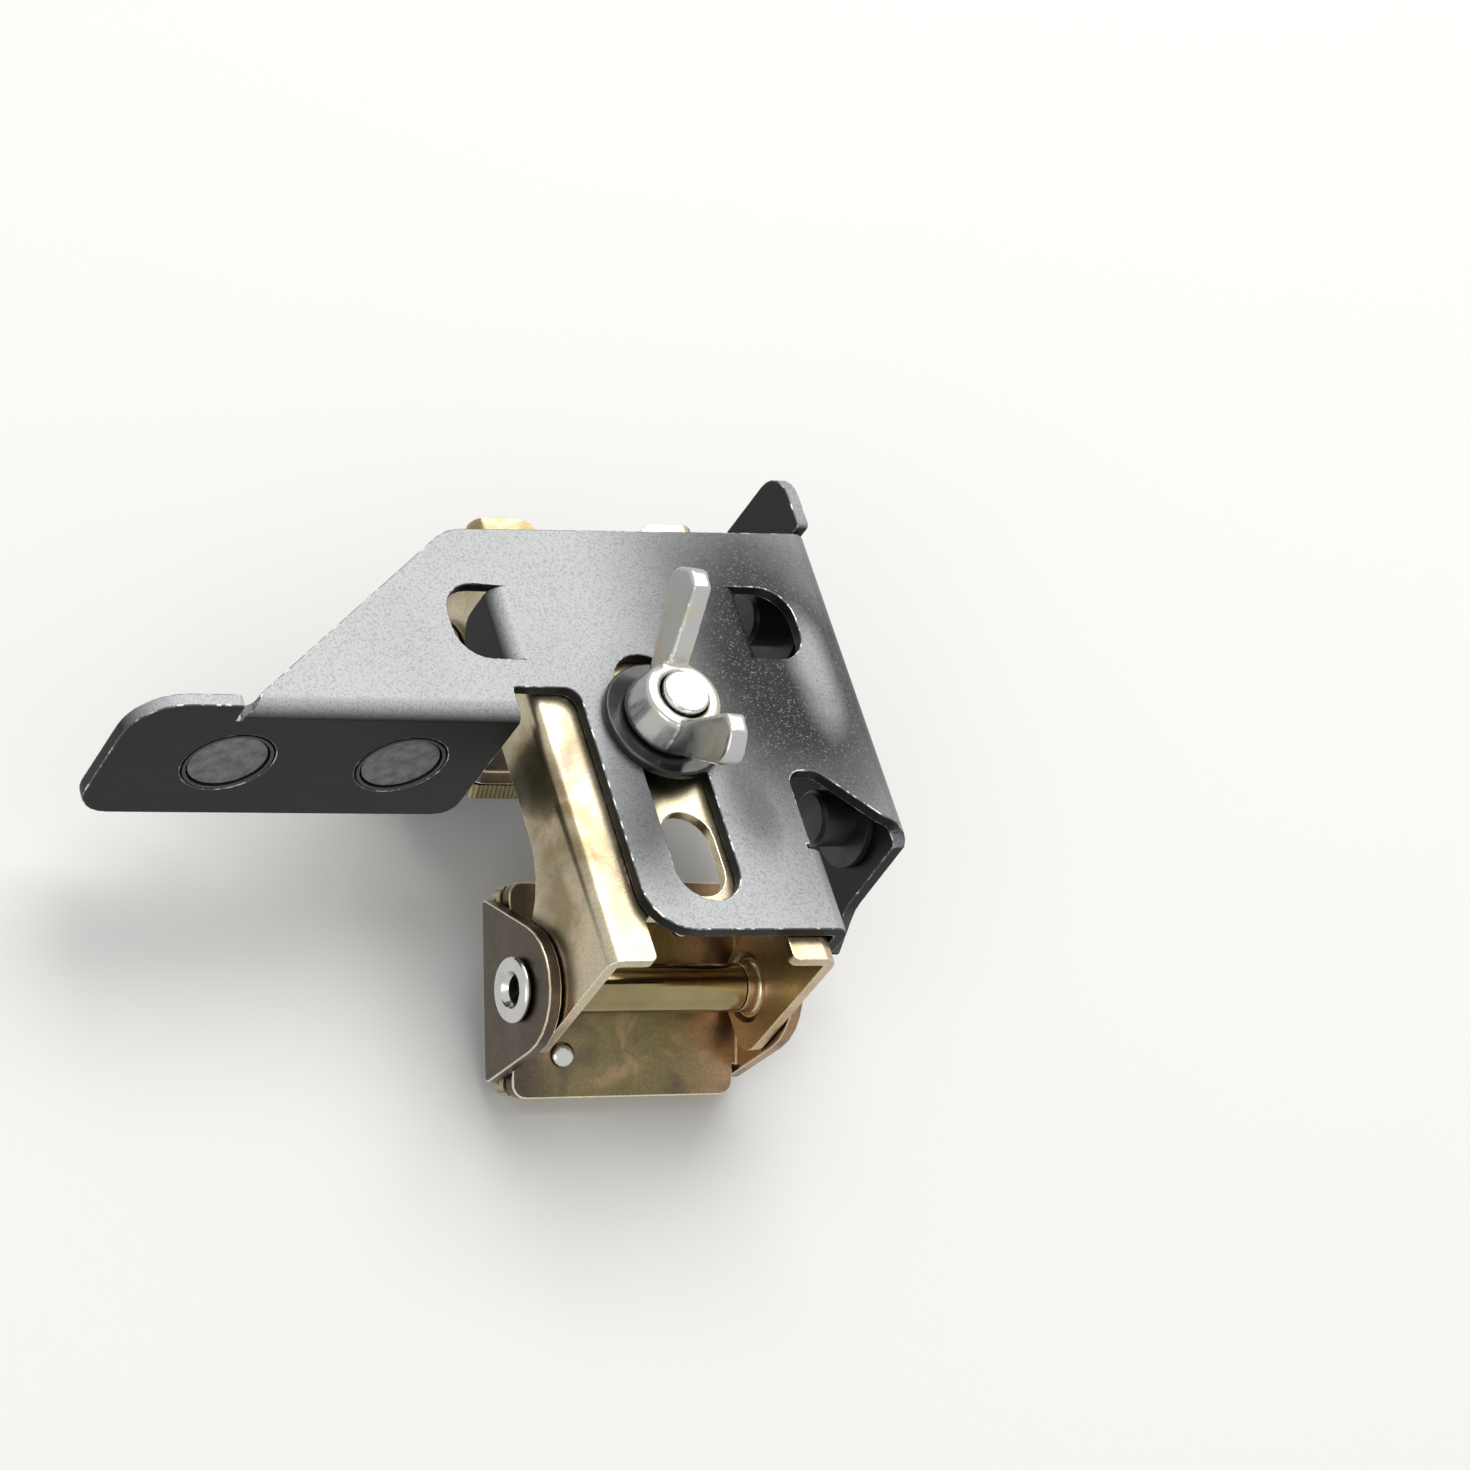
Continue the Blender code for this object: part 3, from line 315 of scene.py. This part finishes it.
# %% Worn edge
worn, tree, shader, where = start_finish("worn powder coat edge", 0.0, 0.4)
patch = add_node(tree, "ShaderNodeTexNoise", {"Vector": where, "Scale": per_mm(1.8), "Detail": 5.0,
                                              "Roughness": 0.65})
bare = add_node(tree, "ShaderNodeMapRange", {0: patch.outputs[0], 1: 0.52, 2: 0.60})
edge = add_node(tree, "ShaderNodeMix", {0: bare.outputs[0], 6: linear("#5A5C5F"),
                                        7: linear("#C9C9C6")}, data_type="RGBA")
tree.links.new(edge.outputs[2], shader.inputs["Base Color"])
steel = add_node(tree, "ShaderNodeMapRange", {0: bare.outputs[0], 3: 0.0, 4: 1.0})
tree.links.new(steel.outputs[0], shader.inputs["Metallic"])
print(worn.name, "has", len(tree.nodes), "nodes")

# %% [markdown]
# ## Yellow chromate zinc
#
# The slide and feet are steel, plated with zinc and dipped in yellow chromate. The film is
# thinner than the light's wavelength in places, so it drifts from straw and olive to lilac and
# copper. Thin Film on the shader could do that, but here slow noises mix those colours instead,
# in patches about 15 mm wide. Towards the left end the colour goes dark lilac, a painted shade
# for the dark surroundings that those faces mirror. Towards the right end it goes to a lighter
# copper: the chromate's own copper, lightened as painted light where the inner faces lie in shade.
# It is a metal, so metallic is 1 and the IOR stays as it is. Zinc plate has a roughness of 0.25
# to 0.4.

# %% Yellow chromate zinc
# where along X the two ends start to change, and where the change is complete
# the left end takes painted shade, dark lilac; the right end a lighter copper, partly painted
# light
SHADED_END_FROM, SHADED_END_TO = -53 * MM, -59 * MM
COPPER_END_FROM, COPPER_END_TO = -32 * MM, -22 * MM


def yellow_zinc(name, straw, olive, lilac, copper, tint, end_shade, rough):
    """One bath of chromate: two main colours, and two that show in patches and at the ends."""
    finish, tree, shader, where = start_finish(name, 1.0, rough)
    drift = add_node(tree, "ShaderNodeTexNoise", {"Vector": where, "Scale": per_mm(15),
                                                  "Detail": 3.0, "Distortion": 0.6})
    film = add_node(tree, "ShaderNodeTexNoise", {"Vector": where, "Scale": per_mm(9),
                                                 "Detail": 2.0, "Distortion": 0.5})
    main = add_node(tree, "ShaderNodeMapRange", {0: drift.outputs[0], 1: 0.38, 2: 0.62})
    base = add_node(tree, "ShaderNodeMix", {0: main.outputs[0], 6: linear(straw),
                                            7: linear(olive)}, data_type="RGBA")
    cool = add_node(tree, "ShaderNodeMapRange", {0: film.outputs[0], 1: 0.54, 2: 0.68, 3: 0.0,
                                                 4: tint})
    spot = add_node(tree, "ShaderNodeSeparateXYZ", {0: where})
    # painted shade: towards the left end the colour turns dark lilac
    left_end_shade = add_node(tree, "ShaderNodeMapRange",
                       {0: spot.outputs["X"], 1: SHADED_END_FROM, 2: SHADED_END_TO, 3: 0.0, 4: end_shade})
    purple = add_node(tree, "ShaderNodeMath", {0: cool.outputs[0], 1: left_end_shade.outputs[0]},
                      operation="MAXIMUM")
    warm = add_node(tree, "ShaderNodeMapRange", {0: film.outputs[0], 1: 0.44, 2: 0.32, 3: 0.0,
                                                 4: tint})
    # towards the right end: the chromate's own copper, lightened as painted light for inner faces
    # in shade
    copper_end = add_node(tree, "ShaderNodeMapRange",
                    {0: spot.outputs["X"], 1: COPPER_END_FROM, 2: COPPER_END_TO, 3: 0.0, 4: tint})
    coppery = add_node(tree, "ShaderNodeMath", {0: warm.outputs[0], 1: copper_end.outputs[0]},
                       operation="MAXIMUM")
    warmed = add_node(tree, "ShaderNodeMix", {0: coppery.outputs[0], 6: base.outputs[2],
                                              7: linear(copper)}, data_type="RGBA")
    cooled = add_node(tree, "ShaderNodeMix", {0: purple.outputs[0], 6: warmed.outputs[2],
                                              7: linear(lilac)}, data_type="RGBA")
    crystal = add_node(tree, "ShaderNodeTexNoise", {"Vector": where, "Scale": per_mm(0.5),
                                                    "Detail": 3.0})
    dark = add_node(tree, "ShaderNodeMapRange", {0: crystal.outputs[0], 1: 0.35, 2: 0.65, 3: 0.88,
                                                 4: 1.1})
    speck = add_node(tree, "ShaderNodeVectorMath", {0: cooled.outputs[2],
                                                    "Scale": dark.outputs[0]}, operation="SCALE")
    tree.links.new(speck.outputs[0], shader.inputs["Base Color"])
    satin = add_node(tree, "ShaderNodeMapRange", {0: film.outputs[0], 1: 0.3, 2: 0.7,
                                                  3: rough - 0.06, 4: rough + 0.07})
    tree.links.new(satin.outputs[0], shader.inputs["Roughness"])
    plate = add_node(tree, "ShaderNodeBump", {"Strength": 0.3, "Distance": 0.02 * MM,
                                              "Height": crystal.outputs[0]})
    tree.links.new(plate.outputs[0], shader.inputs["Normal"])
    print(name, "has", len(tree.nodes), "nodes")
    return finish


slide_zinc = yellow_zinc("yellow chromate zinc, slide", "#CDC3A4", "#91825C", "#B5A5A6", "#E0C0A0",
                         tint=0.55, end_shade=0.1, rough=0.3)
foot_zinc = yellow_zinc("yellow chromate zinc, feet", "#857858", "#746A47", "#544B48", "#BC987C",
                        tint=0.55, end_shade=0.85, rough=0.33)
rim_zinc = yellow_zinc("rubbed chromate edge", "#E4DCC2", "#D4C8A6", "#D8CECE", "#D6BA9C",
                       tint=0.4, end_shade=0.0, rough=0.28)

# %% [markdown]
# ## Polished sleeve
#
# The tube between the two collars was turned smooth before plating, so it mirrors the room in
# long sharp bands. Turning leaves rings round it, finer than a hair: real feed marks are 0.05 mm
# apart, drawn here at 0.35 mm so that they catch a little light. Its roughness is low, 0.12.

# %% Polished sleeve
sleeve_zinc, tree, shader, where = start_finish("polished yellow zinc", 1.0, 0.12)
rings = add_node(tree, "ShaderNodeTexWave", {"Vector": where, "Scale": bands_per_mm(0.35),
                                             "Distortion": 0.4, "Detail": 1.0}, wave_type="BANDS",
                 bands_direction="X")
cloud = add_node(tree, "ShaderNodeTexNoise", {"Vector": where, "Scale": per_mm(7), "Detail": 2.0})
gold = add_node(tree, "ShaderNodeMix", {0: cloud.outputs[0], 6: linear("#AC9A6C"),
                                        7: linear("#7E7659")}, data_type="RGBA")
tree.links.new(gold.outputs[2], shader.inputs["Base Color"])
turned = add_node(tree, "ShaderNodeBump", {"Strength": 0.15, "Distance": 0.01 * MM,
                                           "Height": rings.outputs[0]})
tree.links.new(turned.outputs[0], shader.inputs["Normal"])
print(sleeve_zinc.name, "has", len(tree.nodes), "nodes")

# %% [markdown]
# ## Sheared pole plate
#
# The magnet sits under each foot in a plate whose cut edge still has the ridges of the shear.
# They run through the thickness, about 0.8 mm apart, and the colour follows the same bands,
# paler on the ridges and darker between them. A wave along the plate's length, bent by its own
# distortion so that no two ridges match, makes them.
# The bump is only 0.06 mm deep, so each ridge is a line of light and not a step.

# %% Sheared pole plate
pole_zinc, tree, shader, where = start_finish("sheared zinc plate", 1.0, 0.42)
shear = add_node(tree, "ShaderNodeTexWave", {"Vector": where, "Scale": bands_per_mm(0.8),
                                             "Distortion": 1.6, "Detail": 2.0,
                                             "Detail Scale": 1.5}, wave_type="BANDS",
                 bands_direction="X")
# the colour follows the bands: paler on the ridges, darker between them
ridge = add_node(tree, "ShaderNodeMix", {0: shear.outputs[0], 6: linear("#7C7154"),
                                         7: linear("#ADA484")}, data_type="RGBA")
tree.links.new(ridge.outputs[2], shader.inputs["Base Color"])
torn = add_node(tree, "ShaderNodeBump", {"Strength": 0.6, "Distance": 0.06 * MM,
                                         "Height": shear.outputs[0]})
tree.links.new(torn.outputs[0], shader.inputs["Normal"])
print(pole_zinc.name, "has", len(tree.nodes), "nodes")

# %% [markdown]
# ## Cast zinc wing nut
#
# The nut is die-cast and barrel-plated. Casting rounds every inner corner, and tumbling rounds
# the outer ones, so a later step remeshes and smooths the node. The skin keeps a faint mottle
# from the die, about 2.4 mm across. Bright plate is metallic 1 with a roughness of 0.2 to 0.3.

# %% Cast zinc
cast_zinc, tree, shader, where = start_finish("bright cast zinc", 1.0, 0.3)
mottle = add_node(tree, "ShaderNodeTexNoise", {"Vector": where, "Scale": per_mm(2.4),
                                               "Detail": 1.5})
stain = add_node(tree, "ShaderNodeTexNoise", {"Vector": where, "Scale": per_mm(8), "Detail": 2.0})
warmth = add_node(tree, "ShaderNodeMapRange", {0: stain.outputs[0], 1: 0.5, 2: 0.68})
silver = add_node(tree, "ShaderNodeMix", {0: warmth.outputs[0], 6: linear("#C6C6C5"),
                                          7: linear("#CAC4AF")}, data_type="RGBA")
tree.links.new(silver.outputs[2], shader.inputs["Base Color"])
skin = add_node(tree, "ShaderNodeMapRange", {0: mottle.outputs[0], 1: 0.3, 2: 0.7, 3: 0.2, 4: 0.3})
tree.links.new(skin.outputs[0], shader.inputs["Roughness"])
die = add_node(tree, "ShaderNodeBump", {"Strength": 0.2, "Distance": 0.03 * MM,
                                        "Height": mottle.outputs[0]})
tree.links.new(die.outputs[0], shader.inputs["Normal"])
print(cast_zinc.name, "has", len(tree.nodes), "nodes")

# %% [markdown]
# ## Bright steel, blackened steel and magnets
#
# The bolt and rivets are bright plated steel, the washer is black oxide under oil, and the cups
# are blackened steel. The magnets are sintered powder under a dull plate: grey, mottled at about
# 2 mm, and never quite clean, because a magnet gathers grinding dust.

# %% Bright steel
bright_steel, tree, shader, where = start_finish("bright plated steel", 1.0, 0.2)
smear = add_node(tree, "ShaderNodeTexNoise", {"Vector": where, "Scale": per_mm(2.5),
                                              "Detail": 4.0})
tone = add_node(tree, "ShaderNodeMix", {0: smear.outputs[0], 6: linear("#B9B9B7"),
                                        7: linear("#E2E1DC")}, data_type="RGBA")
tree.links.new(tone.outputs[2], shader.inputs["Base Color"])
rubbed = add_node(tree, "ShaderNodeMapRange", {0: smear.outputs[0], 1: 0.3, 2: 0.7, 3: 0.15,
                                               4: 0.3})
tree.links.new(rubbed.outputs[0], shader.inputs["Roughness"])
print(bright_steel.name, "has", len(tree.nodes), "nodes")

# %% Blackened steel
def blackened(name, dark, pale, metallic, rough):
    """Steel under a thin black finish, with oil drying unevenly over it."""
    finish, tree, shader, where = start_finish(name, metallic, rough)
    oil = add_node(tree, "ShaderNodeTexNoise", {"Vector": where, "Scale": per_mm(3),
                                                "Detail": 4.0})
    tone = add_node(tree, "ShaderNodeMix", {0: oil.outputs[0], 6: linear(dark), 7: linear(pale)},
                    data_type="RGBA")
    tree.links.new(tone.outputs[2], shader.inputs["Base Color"])
    dry = add_node(tree, "ShaderNodeMapRange", {0: oil.outputs[0], 1: 0.3, 2: 0.7, 3: rough - 0.07,
                                                4: rough + 0.07})
    tree.links.new(dry.outputs[0], shader.inputs["Roughness"])
    print(name, "has", len(tree.nodes), "nodes")
    return finish


washer_black = blackened("oiled black oxide washer", "#0E0E10", "#1E1E20", 0.0, 0.2)
washer_rim = blackened("rubbed washer rim", "#8E8E8C", "#C4C4C2", 1.0, 0.25)
cup_black = blackened("blackened steel cup", "#161618", "#2A2A2C", 0.0, 0.4)

# %% Magnets
magnet_grey, tree, shader, where = start_finish("dull plated magnet", 1.0, 0.48)
sinter = add_node(tree, "ShaderNodeTexNoise", {"Vector": where, "Scale": per_mm(2), "Detail": 5.0,
                                               "Roughness": 0.6})
mottled = add_node(tree, "ShaderNodeMapRange", {0: sinter.outputs[0], 1: 0.35, 2: 0.65})
grey = add_node(tree, "ShaderNodeMix", {0: mottled.outputs[0], 6: linear("#606163"),
                                        7: linear("#828385")}, data_type="RGBA")
tree.links.new(grey.outputs[2], shader.inputs["Base Color"])
rough_skin = add_node(tree, "ShaderNodeBump", {"Strength": 0.3, "Distance": 0.05 * MM,
                                               "Height": sinter.outputs[0]})
tree.links.new(rough_skin.outputs[0], shader.inputs["Normal"])
print(magnet_grey.name, "has", len(tree.nodes), "nodes")

# %% [markdown]
# ## Rounding the edges
#
# Real sheet has no perfectly sharp corner, and it is the thin bright line along an edge that tells
# the eye so. The model's mesh stays as it is, and modifiers do the work: Weld joins the
# points, Decimate drops the flat triangles' edges, Bevel rounds what is left, and a small
# geometry-nodes group smooths the shading wherever faces meet at less than 30 degrees. Weighted
# Normal then keeps the wide faces flat. Bevel's overlap clamp is off, because one short edge
# would otherwise thin the rounding of the whole node.

# %% Smooth shading by angle
smoothing = bpy.data.node_groups.new("smooth by angle", "GeometryNodeTree")
smoothing.interface.new_socket("Geometry", in_out="INPUT", socket_type="NodeSocketGeometry")
smoothing.interface.new_socket("Geometry", in_out="OUTPUT", socket_type="NodeSocketGeometry")
coming = add_node(smoothing, "NodeGroupInput")
corner = add_node(smoothing, "GeometryNodeInputMeshEdgeAngle")
gentle = add_node(smoothing, "FunctionNodeCompare", {0: corner.outputs[0], 1: math.radians(30)},
                  operation="LESS_EQUAL")
faces = add_node(smoothing, "GeometryNodeSetShadeSmooth", {0: coming.outputs[0],
                                                           "Shade Smooth": True})
edges = add_node(smoothing, "GeometryNodeSetShadeSmooth",
                 {0: faces.outputs[0], "Shade Smooth": gentle.outputs[0]}, domain="EDGE")
add_node(smoothing, "NodeGroupOutput", {0: edges.outputs[0]})
print("smoothing group has", len(smoothing.nodes), "nodes")

# %% The modifiers
def round_edges(part, width, rim_slot):
    """Round a node's edges by a width in millimetres, and give them a material slot."""
    weld = part.modifiers.new("weld", "WELD")
    weld.merge_threshold = 0.002 * MM
    flats = part.modifiers.new("flats", "DECIMATE")
    flats.decimate_type = "DISSOLVE"
    flats.angle_limit = math.radians(1)
    bevel = part.modifiers.new("edges", "BEVEL")
    bevel.width = width * MM
    bevel.segments = 2
    bevel.limit_method = "ANGLE"
    bevel.angle_limit = math.radians(40)
    bevel.material = rim_slot
    bevel.use_clamp_overlap = False
    smooth = part.modifiers.new("smooth", "NODES")
    smooth.node_group = smoothing
    flatten = part.modifiers.new("flatten", "WEIGHTED_NORMAL")
    flatten.keep_sharp = True


# %% [markdown]
# ## Dressing the plate, slide and feet
#
# Each node takes its finish in its first slot, and the finish of its rubbed edges in its second.
# The rounding is 0.1 to 0.25 mm wide, as on sheared sheet that has been tumbled.

# %% Finishes onto nodes
def dress(names, finish, rim, width):
    """Give nodes a finish and rounded edges."""
    for name in names:
        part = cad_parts[name]
        part.data.materials.clear()
        part.data.materials.append(finish)
        part.data.materials.append(rim)
        round_edges(part, width, 1)
    print(finish.name, "on", ", ".join(names))


ends = ("front", "rear")
dress(["bracket"], coat, worn, 0.2)
dress(["slide"], slide_zinc, rim_zinc, 0.2)
dress([e + "_foot" for e in ends], foot_zinc, rim_zinc, 0.25)
dress([e + "_sleeve" for e in ends], sleeve_zinc, rim_zinc, 0.1)
dress([e + "_pole_plate" for e in ends], pole_zinc, pole_zinc, 0.1)
dress([e + "_rivet" for e in ends], bright_steel, bright_steel, 0.1)
dress([e + "_pad_rivet_%d" % n for e in ends for n in (1, 2)], bright_steel, bright_steel, 0.1)
dress(["clamp_bolt"], bright_steel, bright_steel, 0.15)
dress(["washer"], washer_black, washer_rim, 0.12)
cups = ("side_outer", "side_inner", "end_front", "end_rear")
dress(["cup_" + c for c in cups], cup_black, cup_black, 0.1)
dress(["magnet_" + c for c in cups] + [e + "_pad_magnet" for e in ends], magnet_grey, magnet_grey,
      0.15)

# %% [markdown]
# ## The cast look of the wing nut
#
# A bevel can't round the corner where a wing grows out of the hub. A voxel Remesh turns the whole
# nut into an even skin, and a Smooth modifier then melts the corners, inner and outer, as the
# die and the tumbler do. Voxels of 0.3 mm keep the bore round.

# %% Wing nut
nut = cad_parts["wing_nut"]
nut.data.materials.clear()
nut.data.materials.append(cast_zinc)
skin_mesh = nut.modifiers.new("skin", "REMESH")
skin_mesh.mode = "VOXEL"
skin_mesh.voxel_size = 0.3 * MM
skin_mesh.use_smooth_shade = True
melt = nut.modifiers.new("melt", "SMOOTH")
melt.factor = 0.5
melt.iterations = 10
print("wing nut modifiers:", [m.type for m in nut.modifiers])

# %% [markdown]
# ## Last step
#
# The view settings stay plain, so a colour renders as it was written.

# %% Finish
bpy.context.scene.view_settings.view_transform = "Standard"
